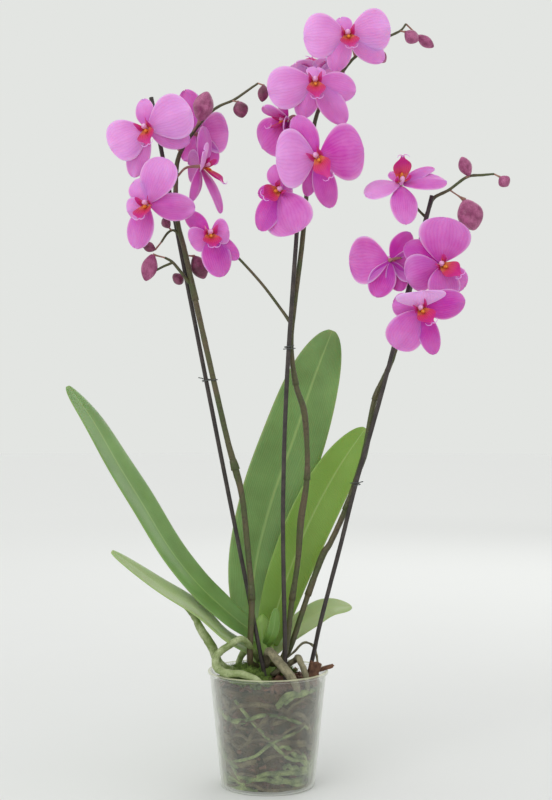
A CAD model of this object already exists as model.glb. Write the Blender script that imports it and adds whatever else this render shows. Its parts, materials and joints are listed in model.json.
# Looks of the potted moth orchid: petals, leaves, roots, bark and the clear pot, with their finishes.
import json
import math
import random

import bmesh
import bpy
from mathutils import Matrix, Vector, noise

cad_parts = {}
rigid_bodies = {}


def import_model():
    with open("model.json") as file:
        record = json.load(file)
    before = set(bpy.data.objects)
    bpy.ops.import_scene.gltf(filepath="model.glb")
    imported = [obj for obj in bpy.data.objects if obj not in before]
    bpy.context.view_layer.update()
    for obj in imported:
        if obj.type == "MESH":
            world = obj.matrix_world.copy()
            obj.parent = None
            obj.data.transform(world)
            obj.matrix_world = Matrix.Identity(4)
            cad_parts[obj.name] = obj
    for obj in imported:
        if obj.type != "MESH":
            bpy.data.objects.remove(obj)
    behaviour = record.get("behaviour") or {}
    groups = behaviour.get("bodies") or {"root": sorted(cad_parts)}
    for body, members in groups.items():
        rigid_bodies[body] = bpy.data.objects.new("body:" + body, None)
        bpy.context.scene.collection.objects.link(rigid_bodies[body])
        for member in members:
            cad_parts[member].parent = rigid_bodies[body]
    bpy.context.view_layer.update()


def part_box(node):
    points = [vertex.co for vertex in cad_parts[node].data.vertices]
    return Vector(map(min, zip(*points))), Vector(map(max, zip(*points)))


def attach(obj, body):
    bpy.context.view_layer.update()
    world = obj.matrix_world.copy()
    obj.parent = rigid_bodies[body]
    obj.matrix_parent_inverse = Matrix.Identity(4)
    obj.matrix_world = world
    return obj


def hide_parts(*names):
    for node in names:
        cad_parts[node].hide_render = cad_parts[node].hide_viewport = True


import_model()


def linear(red, green, blue):
    # 0 to 255 screen values to the linear ones that shaders take
    return tuple(((value / 255 + 0.055) / 1.055) ** 2.4 if value > 10 else value / 3294
                 for value in (red, green, blue))


def smoothRoute(points, steps):
    # Catmull-Rom through points; a fourth number, the radius, is smoothed with them
    line = [Vector(point) for point in points]
    line = [line[0] * 2 - line[1], *line, line[-1] * 2 - line[-2]]
    route = []
    for before, start, end, after in zip(line, line[1:], line[2:], line[3:]):
        for step in range(steps):
            t = step / steps
            route.append(0.5 * (2 * start + (end - before) * t
                                + (2 * before - 5 * start + 4 * end - after) * t ** 2
                                + (3 * start - before - 3 * end + after) * t ** 3))
    route.append(line[-2])
    return route


def nearestOn(route, place):
    return min(route, key=lambda point: (Vector(point[:3]) - Vector(place)).length)


def finishPiece(piece, nodes):
    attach(piece, "root")
    if nodes:
        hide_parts(*nodes)


def meshPiece(name, shape, material):
    bmesh.ops.recalc_face_normals(shape, faces=shape.faces)
    mesh = bpy.data.meshes.new(name)
    shape.to_mesh(mesh)
    shape.free()
    mesh.materials.append(material)
    mesh.shade_smooth()
    piece = bpy.data.objects.new(name, mesh)
    bpy.context.scene.collection.objects.link(piece)
    return piece


def plainMesh(piece):
    # the modifiers' result becomes the piece's own mesh
    bpy.context.view_layer.update()
    depsgraph = bpy.context.evaluated_depsgraph_get()
    mesh = bpy.data.meshes.new_from_object(piece.evaluated_get(depsgraph))
    piece.modifiers.clear()
    piece.data = mesh
    mesh.shade_smooth()
    return piece


def thicken(piece, thickness, levels=1):
    wall = piece.modifiers.new("Thickness", "SOLIDIFY")
    wall.thickness = thickness
    wall.offset = 0.0
    soft = piece.modifiers.new("Soft", "SUBSURF")
    soft.levels = levels
    soft.render_levels = levels
    return plainMesh(piece)


def addTube(shape, route, sides=12, ridges=0, ridgeDepth=0.0, roughness=0.0):
    # a closed tube along (x, y, z, radius) points, its rings turned as little as they can be;
    # its own map runs round it in u and along it, in centimetres, in v
    uvLayer = shape.loops.layers.uv.verify()
    places = [Vector(point[:3]) for point in route]
    rings = []
    lengths = [0.0]
    for first, second in zip(places, places[1:]):
        lengths.append(lengths[-1] + (second - first).length)
    tangent = (places[1] - places[0]).normalized()
    side = tangent.orthogonal().normalized()
    for index, place in enumerate(places):
        ahead = places[min(index + 1, len(places) - 1)] - places[max(index - 1, 0)]
        newTangent = ahead.normalized()
        side = (side - newTangent * side.dot(newTangent)).normalized()
        across = newTangent.cross(side)
        ring = []
        for step in range(sides):
            angle = 2 * math.pi * step / sides
            radius = route[index][3] * (1.0 + ridgeDepth * math.cos(ridges * angle))
            out = side * math.cos(angle) + across * math.sin(angle)
            spot = place + out * radius
            if roughness:
                spot += out * roughness * noise.noise(spot * 240.0)
            ring.append(shape.verts.new(spot))
        rings.append(ring)
    for index in range(len(rings) - 1):
        for step in range(sides):
            following = (step + 1) % sides
            face = shape.faces.new((rings[index][step], rings[index][following],
                                    rings[index + 1][following], rings[index + 1][step]))
            turns = (step / sides, (step + 1) / sides, (step + 1) / sides, step / sides)
            alongs = (lengths[index], lengths[index], lengths[index + 1], lengths[index + 1])
            for loop, turn, along in zip(face.loops, turns, alongs):
                loop[uvLayer].uv = (turn, along * 100)
    for end, before in ((0, 1), (-1, -2)):
        ring = rings[end]
        outward = (places[end] - places[before]).normalized()
        cap = shape.verts.new(places[end] + outward * route[0][3] * 0.2)
        for step in range(sides):
            following = (step + 1) % sides
            shape.faces.new((ring[step], ring[following], cap))


def addBlade(shape, gridPoints, tone=0.5):
    # a sheet from rows of points, mapped u across and v along
    uvLayer = shape.loops.layers.uv.verify()
    toneLayer = shape.verts.layers.float.get("tone") or shape.verts.layers.float.new("tone")
    grid = [[shape.verts.new(point) for point in row] for row in gridPoints]
    for row in grid:
        for vert in row:
            vert[toneLayer] = tone
    rows, columns = len(grid), len(grid[0])
    for row in range(rows - 1):
        for column in range(columns - 1):
            corners = ((row, column), (row, column + 1), (row + 1, column + 1), (row + 1, column))
            face = shape.faces.new([grid[r][c] for r, c in corners])
            for loop, (r, c) in zip(face.loops, corners):
                loop[uvLayer].uv = (c / (columns - 1), r / (rows - 1))


# shared shader effects
def newGroup(name, inputs, outputs):
    group = bpy.data.node_groups.new(name, "ShaderNodeTree")
    for label, kind, value in inputs:
        socket = group.interface.new_socket(name=label, in_out="INPUT", socket_type=kind)
        if value is not None:
            socket.default_value = value
    for label, kind in outputs:
        group.interface.new_socket(name=label, in_out="OUTPUT", socket_type=kind)
    entry = group.nodes.new("NodeGroupInput")
    leave = group.nodes.new("NodeGroupOutput")
    return group, entry, leave


def mathNode(tree, operation, first, second=None, clamp=False):
    node = tree.nodes.new("ShaderNodeMath")
    node.operation = operation
    node.use_clamp = clamp
    for socket, value in zip(node.inputs, (first, second)):
        if value is None:
            continue
        if isinstance(value, (int, float)):
            socket.default_value = value
        else:
            tree.links.new(value, socket)
    return node.outputs[0]


def ramp(tree, value, start, gain):
    # 0 up to the start, then rising to 1
    return mathNode(tree, "MULTIPLY", mathNode(tree, "SUBTRACT", value, start), gain, clamp=True)


def mixColour(tree, factor, first, second):
    node = tree.nodes.new("ShaderNodeMix")
    node.data_type = "RGBA"
    for socket, value in ((node.inputs[0], factor), (node.inputs[6], first), (node.inputs[7], second)):
        if isinstance(value, (int, float)):
            socket.default_value = value
        elif isinstance(value, tuple):
            socket.default_value = (*value[:3], 1.0)
        else:
            tree.links.new(value, socket)
    return node.outputs[2]


def noiseNode(tree, vector, scale):
    node = tree.nodes.new("ShaderNodeTexNoise")
    node.inputs["Scale"].default_value = scale
    node.inputs["Detail"].default_value = 3.0
    tree.links.new(vector, node.inputs["Vector"])
    return node.outputs["Fac"]


def makeVeinGroup():
    # fine veins that run along a blade, and how near its rim a point is
    group, entry, leave = newGroup(
        "bladeVeins",
        (("Map", "NodeSocketVector", None), ("Count", "NodeSocketFloat", 9.0),
         ("Waver", "NodeSocketFloat", 0.6)),
        (("Veins", "NodeSocketFloat"), ("Rim", "NodeSocketFloat"), ("Along", "NodeSocketFloat"),
         ("Across", "NodeSocketFloat")))
    split = group.nodes.new("ShaderNodeSeparateXYZ")
    group.links.new(entry.outputs["Map"], split.inputs[0])
    centred = mathNode(group, "SUBTRACT", split.outputs[0], 0.5)
    across = mathNode(group, "MULTIPLY", mathNode(group, "ABSOLUTE", centred), 2.0)
    waver = noiseNode(group, entry.outputs["Map"], 5.0)
    shifted = mathNode(group, "ADD", centred, mathNode(group, "MULTIPLY", waver, mathNode(
        group, "MULTIPLY", entry.outputs["Waver"], 0.15)))
    wave = mathNode(group, "SINE", mathNode(group, "MULTIPLY", mathNode(
        group, "MULTIPLY", shifted, entry.outputs["Count"]), 2 * math.pi))
    veins = mathNode(group, "POWER", mathNode(group, "ABSOLUTE", wave), 4.0)
    sideRim = ramp(group, across, 0.72, 3.6)
    tipRim = ramp(group, split.outputs[1], 0.84, 6.0)
    rim = mathNode(group, "MAXIMUM", sideRim, tipRim)
    group.links.new(veins, leave.inputs["Veins"])
    group.links.new(rim, leave.inputs["Rim"])
    group.links.new(split.outputs[1], leave.inputs["Along"])
    group.links.new(across, leave.inputs["Across"])
    return group


def makeMottleGroup():
    # soft blotches and fine grain in the solid, from one noise at two scales
    group, entry, leave = newGroup(
        "softMottle",
        (("Place", "NodeSocketVector", None), ("Blotch", "NodeSocketFloat", 40.0),
         ("Grain", "NodeSocketFloat", 600.0)),
        (("Blotches", "NodeSocketFloat"), ("Grains", "NodeSocketFloat")))
    for label, output in (("Blotch", "Blotches"), ("Grain", "Grains")):
        cloud = group.nodes.new("ShaderNodeTexNoise")
        cloud.inputs["Detail"].default_value = 4.0
        group.links.new(entry.outputs["Place"], cloud.inputs["Vector"])
        group.links.new(entry.outputs[label], cloud.inputs["Scale"])
        group.links.new(cloud.outputs["Fac"], leave.inputs[output])
    return group


veinGroup = makeVeinGroup()
mottleGroup = makeMottleGroup()


def newMaterial(name, roughness=0.5, **constants):
    material = bpy.data.materials.new(name)
    material.use_nodes = True
    shader = material.node_tree.nodes["Principled BSDF"]
    shader.inputs["Roughness"].default_value = roughness
    for label, value in constants.items():
        shader.inputs[label.replace("_", " ")].default_value = value
    return material, material.node_tree, shader


def mottled(tree, blotch, grain):
    place = tree.nodes.new("ShaderNodeTexCoord")
    group = tree.nodes.new("ShaderNodeGroup")
    group.node_tree = mottleGroup
    group.inputs["Blotch"].default_value = blotch
    group.inputs["Grain"].default_value = grain
    tree.links.new(place.outputs["Object"], group.inputs["Place"])
    return group


def veined(tree, count, waver):
    place = tree.nodes.new("ShaderNodeTexCoord")
    group = tree.nodes.new("ShaderNodeGroup")
    group.node_tree = veinGroup
    group.inputs["Count"].default_value = count
    group.inputs["Waver"].default_value = waver
    tree.links.new(place.outputs["UV"], group.inputs["Map"])
    return group


def bumped(tree, shader, height, strength, distance):
    bump = tree.nodes.new("ShaderNodeBump")
    bump.inputs["Strength"].default_value = strength
    bump.inputs["Distance"].default_value = distance
    tree.links.new(height, bump.inputs["Height"])
    tree.links.new(bump.outputs[0], shader.inputs["Normal"])


petalLooks = dict(pale=linear(238, 172, 238), deep=linear(188, 22, 170), rim=linear(250, 214, 250),
                  veinCount=7.0)


def makePetalFinish():
    material, tree, shader = newMaterial("petalSkin", 0.55, Subsurface_Weight=0.22, Subsurface_Scale=0.004,
                                         Sheen_Weight=0.15)
    veins = veined(tree, petalLooks["veinCount"], 0.8)
    spots = mottled(tree, 60.0, 900.0)
    tone = tree.nodes.new("ShaderNodeAttribute")
    tone.attribute_name = "tone"
    # deeper towards the throat and along the veins, paler towards the rim
    throat = mathNode(tree, "MULTIPLY", mathNode(tree, "SUBTRACT", 0.75, veins.outputs["Along"]), 0.45)
    depth = mathNode(tree, "ADD", tone.outputs["Fac"], throat)
    depth = mathNode(tree, "ADD", depth, mathNode(tree, "MULTIPLY", veins.outputs["Veins"], 0.07))
    depth = mathNode(tree, "ADD", depth, mathNode(tree, "MULTIPLY", mathNode(
        tree, "SUBTRACT", spots.outputs["Blotches"], 0.5), 0.5), clamp=True)
    colour = mixColour(tree, depth, petalLooks["pale"], petalLooks["deep"])
    rim = mathNode(tree, "MULTIPLY", mathNode(tree, "POWER", veins.outputs["Rim"], 3.0), 0.6)
    colour = mixColour(tree, rim, colour, petalLooks["rim"])
    tree.links.new(colour, shader.inputs["Base Color"])
    height = mathNode(tree, "ADD", veins.outputs["Veins"], spots.outputs["Grains"])
    bumped(tree, shader, height, 0.25, 0.0006)
    return material


lipLooks = dict(throat=linear(244, 176, 70), flush=linear(214, 60, 96), blade=linear(204, 40, 140),
                stripe=linear(160, 14, 60))


def makeLipFinish():
    material, tree, shader = newMaterial("lipSkin", 0.42, Subsurface_Weight=0.15, Subsurface_Scale=0.003)
    veins = veined(tree, 5.0, 0.5)
    spots = mottled(tree, 220.0, 1200.0)
    flush = mathNode(tree, "MULTIPLY", veins.outputs["Along"], 4.5, clamp=True)
    colour = mixColour(tree, flush, lipLooks["throat"], lipLooks["flush"])
    outer = ramp(tree, veins.outputs["Along"], 0.18, 2.8)
    colour = mixColour(tree, outer, colour, lipLooks["blade"])
    stripes = mathNode(tree, "MULTIPLY", veins.outputs["Veins"], mathNode(
        tree, "SUBTRACT", 1.0, veins.outputs["Along"], clamp=True))
    stripes = mathNode(tree, "MULTIPLY", stripes, spots.outputs["Blotches"])
    colour = mixColour(tree, stripes, colour, lipLooks["stripe"])
    tree.links.new(colour, shader.inputs["Base Color"])
    bumped(tree, shader, spots.outputs["Grains"], 0.2, 0.0004)
    return material


def makeSkinFinish(name, low, high, spot, roughness, blotch=60.0, coat=0.0, streaks=0.0, bumpDepth=0.0005):
    # a two-tone skin with blotches, streaks round a tube, and darker specks
    material, tree, shader = newMaterial(name, roughness, Coat_Weight=coat, Coat_Roughness=0.3)
    spots = mottled(tree, blotch, blotch * 9)
    patches = mathNode(tree, "ADD", mathNode(tree, "MULTIPLY", mathNode(
        tree, "SUBTRACT", spots.outputs["Blotches"], 0.5), 3.2), 0.5, clamp=True)
    colour = mixColour(tree, patches, linear(*low), linear(*high))
    specks = ramp(tree, spots.outputs["Grains"], 0.54, 8.0)
    colour = mixColour(tree, mathNode(tree, "MULTIPLY", specks, 0.6), colour, linear(*spot))
    height = spots.outputs["Grains"]
    if streaks:
        place = tree.nodes.new("ShaderNodeTexCoord")
        stretch = tree.nodes.new("ShaderNodeMapping")
        stretch.inputs["Scale"].default_value = (9.0, 0.7, 1.0)
        tree.links.new(place.outputs["UV"], stretch.inputs[0])
        lines = noiseNode(tree, stretch.outputs[0], 2.2)
        mask = ramp(tree, lines, 0.5, 3.0)
        colour = mixColour(tree, mathNode(tree, "MULTIPLY", mask, streaks), colour, linear(*spot))
        height = mathNode(tree, "ADD", height, lines)
    tree.links.new(colour, shader.inputs["Base Color"])
    tree.links.new(mathNode(tree, "ADD", mathNode(tree, "MULTIPLY", spots.outputs["Grains"], 0.25),
                            roughness - 0.12), shader.inputs["Roughness"])
    bumped(tree, shader, height, 0.5, bumpDepth)
    return material


leafLooks = dict(low=linear(78, 120, 44), high=linear(116, 162, 84), fresh=linear(124, 168, 20),
                 pale=linear(196, 214, 150), rib=linear(168, 200, 120), veinCount=16.0)


def makeLeafFinish():
    material, tree, shader = newMaterial("leafSkin", 0.36, Subsurface_Weight=0.12, Subsurface_Scale=0.006,
                                         Coat_Weight=0.25, Coat_Roughness=0.35)
    veins = veined(tree, leafLooks["veinCount"], 0.35)
    spots = mottled(tree, 26.0, 420.0)
    patches = ramp(tree, spots.outputs["Blotches"], 0.2, 1.6)
    colour = mixColour(tree, patches, leafLooks["low"], leafLooks["high"])
    # tone 0.5 is the plain green; lower is fresher and yellower, higher is paler
    tone = tree.nodes.new("ShaderNodeAttribute")
    tone.attribute_name = "tone"
    fresh = ramp(tree, 0.5, tone.outputs["Fac"], 1.6)
    pale = ramp(tree, tone.outputs["Fac"], 0.5, 1.6)
    colour = mixColour(tree, pale, mixColour(tree, fresh, colour, leafLooks["fresh"]), leafLooks["pale"])
    side = mathNode(tree, "MULTIPLY", veins.outputs["Across"], 14.0)
    rib = mathNode(tree, "SUBTRACT", 1.0, side, clamp=True)
    marks = mathNode(tree, "MAXIMUM", mathNode(tree, "MULTIPLY", rib, 0.55),
                     mathNode(tree, "MULTIPLY", veins.outputs["Veins"], 0.16))
    colour = mixColour(tree, marks, colour, leafLooks["rib"])
    rim = mathNode(tree, "MULTIPLY", mathNode(tree, "POWER", veins.outputs["Rim"], 6.0), 0.4)
    colour = mixColour(tree, rim, colour, leafLooks["rib"])
    tree.links.new(colour, shader.inputs["Base Color"])
    height = mathNode(tree, "ADD", mathNode(tree, "MULTIPLY", veins.outputs["Veins"], 0.5),
                      mathNode(tree, "MULTIPLY", spots.outputs["Grains"], 0.6))
    bumped(tree, shader, height, 0.35, 0.0006)
    return material


potLooks = dict(clear=linear(222, 226, 216), milky=linear(238, 240, 234), rim=linear(214, 216, 176),
                middleAlpha=0.05, edgeAlpha=0.88, rimAlpha=0.55)


def makePotFinish():
    material, tree, shader = newMaterial("frostedPlastic", 0.32, Coat_Weight=0.3, Coat_Roughness=0.15)
    spots = mottled(tree, 30.0, 500.0)
    colour = mixColour(tree, spots.outputs["Blotches"], potLooks["clear"], potLooks["milky"])
    facing = tree.nodes.new("ShaderNodeLayerWeight")
    facing.inputs["Blend"].default_value = 0.55
    edge = mathNode(tree, "POWER", facing.outputs["Facing"], 3.2)
    haze = mathNode(tree, "MULTIPLY", spots.outputs["Blotches"], 0.12)
    rise = potLooks["edgeAlpha"] - potLooks["middleAlpha"]
    alpha = mathNode(tree, "ADD", mathNode(tree, "MULTIPLY", edge, rise),
                     mathNode(tree, "ADD", haze, potLooks["middleAlpha"] - 0.03), clamp=True)
    place = tree.nodes.new("ShaderNodeTexCoord")
    split = tree.nodes.new("ShaderNodeSeparateXYZ")
    tree.links.new(place.outputs["Object"], split.inputs[0])
    lip = ramp(tree, split.outputs[2], 0.1130, 900.0)
    tree.links.new(mixColour(tree, lip, colour, potLooks["rim"]), shader.inputs["Base Color"])
    alpha = mathNode(tree, "MAXIMUM", alpha, mathNode(tree, "MULTIPLY", lip, potLooks["rimAlpha"]))
    tree.links.new(alpha, shader.inputs["Alpha"])
    bumped(tree, shader, spots.outputs["Grains"], 0.08, 0.0003)
    return material


petalSkin = makePetalFinish()
lipSkin = makeLipFinish()
leafSkin = makeLeafFinish()
frostedPlastic = makePotFinish()
skinLooks = {
    "columnSkin": dict(low=(244, 200, 236), high=(232, 150, 214), spot=(214, 110, 170),
                       roughness=0.45, blotch=300.0),
    "stemSkin": dict(low=(66, 80, 34), high=(92, 80, 54), spot=(54, 38, 34),
                     roughness=0.5, blotch=45.0, coat=0.1, streaks=0.5),
    "stalkSkin": dict(low=(138, 100, 84), high=(172, 128, 112), spot=(96, 60, 62),
                      roughness=0.5, blotch=120.0),
    "stakeSkin": dict(low=(48, 42, 40), high=(72, 64, 60), spot=(28, 24, 24),
                      roughness=0.55, blotch=90.0, streaks=0.6),
    "tieSkin": dict(low=(58, 62, 60), high=(84, 88, 86), spot=(30, 32, 32),
                    roughness=0.45, blotch=300.0),
    "budSkin": dict(low=(140, 50, 100), high=(190, 104, 148), spot=(106, 34, 72),
                    roughness=0.45, blotch=130.0, coat=0.1, streaks=0.7),
    "darkBudSkin": dict(low=(98, 36, 62), high=(146, 68, 104), spot=(66, 24, 42),
                        roughness=0.45, blotch=150.0, coat=0.1, streaks=0.7),
    "rootSkin": dict(low=(120, 140, 74), high=(178, 190, 142), spot=(84, 98, 48),
                     roughness=0.6, blotch=110.0, streaks=0.5, bumpDepth=0.0008),
    "oldRootSkin": dict(low=(104, 100, 76), high=(158, 152, 122), spot=(62, 54, 40),
                        roughness=0.8, blotch=130.0, streaks=0.5, bumpDepth=0.001),
    "sunkRootSkin": dict(low=(70, 92, 34), high=(160, 178, 112), spot=(48, 60, 24),
                         roughness=0.6, blotch=90.0, streaks=0.5, bumpDepth=0.0008),
    "deadRootSkin": dict(low=(70, 58, 36), high=(128, 118, 84), spot=(44, 34, 22),
                         roughness=0.8, blotch=90.0, streaks=0.5, bumpDepth=0.001),
    "mossSkin": dict(low=(58, 82, 22), high=(132, 158, 76), spot=(26, 38, 10),
                     roughness=0.9, blotch=160.0),
    "barkSkin": dict(low=(74, 46, 34), high=(128, 92, 70), spot=(36, 22, 16),
                     roughness=0.85, blotch=140.0, bumpDepth=0.0015),
    "soilSkin": dict(low=(34, 40, 14), high=(92, 70, 40), spot=(18, 14, 8),
                     roughness=0.95, blotch=70.0, bumpDepth=0.002),
    "callusSkin": dict(low=(240, 170, 50), high=(226, 110, 40), spot=(170, 30, 30),
                       roughness=0.4, blotch=500.0),
}
skins = {name: makeSkinFinish(name, **looks) for name, looks in skinLooks.items()}
print("finishes made")


# the clear pot
potSize = dict(height=0.1146, baseRadius=0.0466, topRadius=0.0584, rimRadius=0.0602, rimHeight=0.0030,
               wall=0.0010, floor=0.0016, steps=144, holeCount=8, holeRadius=0.0035, holeCircle=0.030)


def wallRadius(height):
    flare = potSize["topRadius"] - potSize["baseRadius"]
    return potSize["baseRadius"] + flare * height / potSize["height"]


def around(radius, angle, height):
    return radius * math.cos(angle), radius * math.sin(angle), height


def bridgeRings(shape, rings):
    for low, high in zip(rings, rings[1:]):
        for step in range(len(low)):
            following = (step + 1) % len(low)
            shape.faces.new((low[step], low[following], high[following], high[step]))


def makePot():
    top = potSize["height"]
    wall = potSize["wall"]
    rimFoot = top - potSize["rimHeight"]
    profile = [(wallRadius(top) - wall, top - 0.0006), (wallRadius(top) - wall + 0.0006, top)]
    for step in range(7):
        angle = math.pi / 2 * (1 - step / 6)
        profile.append((potSize["rimRadius"] - 0.001 + 0.001 * math.cos(angle),
                        top - 0.001 + 0.001 * math.sin(angle)))
    profile += [(potSize["rimRadius"], rimFoot + 0.0004), (potSize["rimRadius"] - 0.0004, rimFoot),
                (wallRadius(rimFoot) + 0.0003, rimFoot), (wallRadius(rimFoot), rimFoot - 0.0004)]
    for step in range(12):
        height = rimFoot - 0.001 - (rimFoot - 0.004) * step / 11
        profile.append((wallRadius(height), height))
    profile += [(wallRadius(0.0012) - 0.0002, 0.0012), (potSize["baseRadius"] - 0.0015, 0.0), (0.0, 0.0)]
    profile += [(0.0, potSize["floor"]), (potSize["baseRadius"] - wall - 0.001, potSize["floor"]),
                (wallRadius(0.004) - wall, 0.004)]
    shape = bmesh.new()
    verts = [shape.verts.new((radius, 0.0, height)) for radius, height in profile]
    edges = [shape.edges.new((first, second)) for first, second in zip(verts, verts[1:] + verts[:1])]
    bmesh.ops.spin(shape, geom=verts + edges, cent=(0, 0, 0), axis=(0, 0, 1), angle=2 * math.pi,
                   steps=potSize["steps"], use_duplicate=False)
    bmesh.ops.remove_doubles(shape, verts=shape.verts, dist=0.00001)
    pot = meshPiece("potWall", shape, frostedPlastic)
    for index in range(potSize["holeCount"]):
        angle = 2 * math.pi * (index + 0.5) / potSize["holeCount"]
        shape = bmesh.new()
        bmesh.ops.create_cone(shape, cap_ends=True, segments=24, radius1=potSize["holeRadius"],
                              radius2=potSize["holeRadius"], depth=0.01)
        drill = meshPiece("drill", shape, frostedPlastic)
        drill.location = around(potSize["holeCircle"], angle, 0.0)
        cut = pot.modifiers.new("Hole", "BOOLEAN")
        cut.operation = "DIFFERENCE"
        cut.object = drill
    plainMesh(pot)
    pot.data.set_sharp_from_angle(angle=math.radians(50))
    for drill in [thing for thing in bpy.data.objects if thing.name.startswith("drill")]:
        bpy.data.objects.remove(drill)
    finishPiece(pot, ["pot"])


makePot()
print("pot made")


# the mix in the pot, the roots along its wall, and bark scattered over it by geometry nodes
# moss mounds: x, y, half width and height
mossMounds = ((-0.026, -0.006, 0.019, 0.014), (-0.010, -0.031, 0.013, 0.008), (-0.018, 0.022, 0.016, 0.011),
              (0.014, 0.026, 0.012, 0.008))
mixSize = dict(top=0.1040, gap=0.0022, steps=96, rows=40, wallRoots=84, wallRootRadius=0.0026,
               chipDensity=26000.0, mossDensity=620000.0, seed=7)


def mixTopHeight(x, y):
    wave = noise.noise(Vector((x, y, 0.0)) * 45.0)
    return mixSize["top"] + 0.0018 * wave - 0.0015 * (x * x + y * y) / potSize["baseRadius"] ** 2


def makeMix():
    shape = bmesh.new()
    rings = []
    for row in range(mixSize["rows"] + 1):
        t = row / mixSize["rows"]
        height = potSize["floor"] + 0.0005 + (mixSize["top"] - 0.004 - potSize["floor"]) * t
        ring = []
        for step in range(mixSize["steps"]):
            angle = 2 * math.pi * step / mixSize["steps"]
            spot = Vector(around(0.05, angle, height))
            dent = 0.0035 * max(noise.noise(spot * 90.0), 0.0) + 0.0012 * (1 + noise.noise(spot * 260.0))
            narrow = 0.0030 * (1 - t)
            radius = wallRadius(height) - potSize["wall"] - mixSize["gap"] - dent - narrow
            ring.append(shape.verts.new(around(radius, angle, height)))
        rings.append(ring)
    for fraction in (0.94, 0.8, 0.6, 0.4, 0.2):
        ring = []
        for step in range(mixSize["steps"]):
            angle = 2 * math.pi * step / mixSize["steps"]
            radius = fraction * (wallRadius(mixSize["top"]) - potSize["wall"] - mixSize["gap"])
            x, y = radius * math.cos(angle), radius * math.sin(angle)
            bumps = 0.0014 * noise.noise(Vector((x, y, 0.3)) * 180.0)
            ring.append(shape.verts.new((x, y, mixTopHeight(x, y) - 0.001 + bumps)))
        rings.append(ring)
    bridgeRings(shape, rings)
    shape.faces.new(rings[0])
    shape.faces.new(rings[-1])
    finishPiece(meshPiece("mixPlug", shape, skins["soilSkin"]), ["potting_mix"])


def makeWallRoots():
    # roots that wind between the mix and the clear wall, mostly low down
    draw = random.Random(mixSize["seed"])
    for batch, finish in ((0, skins["sunkRootSkin"]), (1, skins["deadRootSkin"])):
        shape = bmesh.new()
        for index in range(mixSize["wallRoots"]):
            if index % 2 != batch:
                continue
            angle = draw.uniform(0, 2 * math.pi)
            height = 0.006 + 0.088 * draw.random() ** 1.5
            turn = draw.choice((-1, 1)) * draw.uniform(0.10, 0.30)
            rise = draw.uniform(-0.010, 0.012)
            thick = mixSize["wallRootRadius"] * draw.uniform(0.65, 1.3)
            route = []
            for step in range(9):
                spot = min(max(height, 0.005), 0.099)
                radius = wallRadius(spot) - potSize["wall"] - thick - 0.0006
                route.append((*around(radius, angle, spot), thick * (1 - 0.3 * step / 8)))
                angle += turn
                height += rise
                rise = rise * 0.7 + draw.uniform(-0.006, 0.006)
            addTube(shape, smoothRoute(route, 3), 8, roughness=0.0005)
        roots = meshPiece("wallRoots" + str(batch), shape, finish)
        finishPiece(roots, [])


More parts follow.
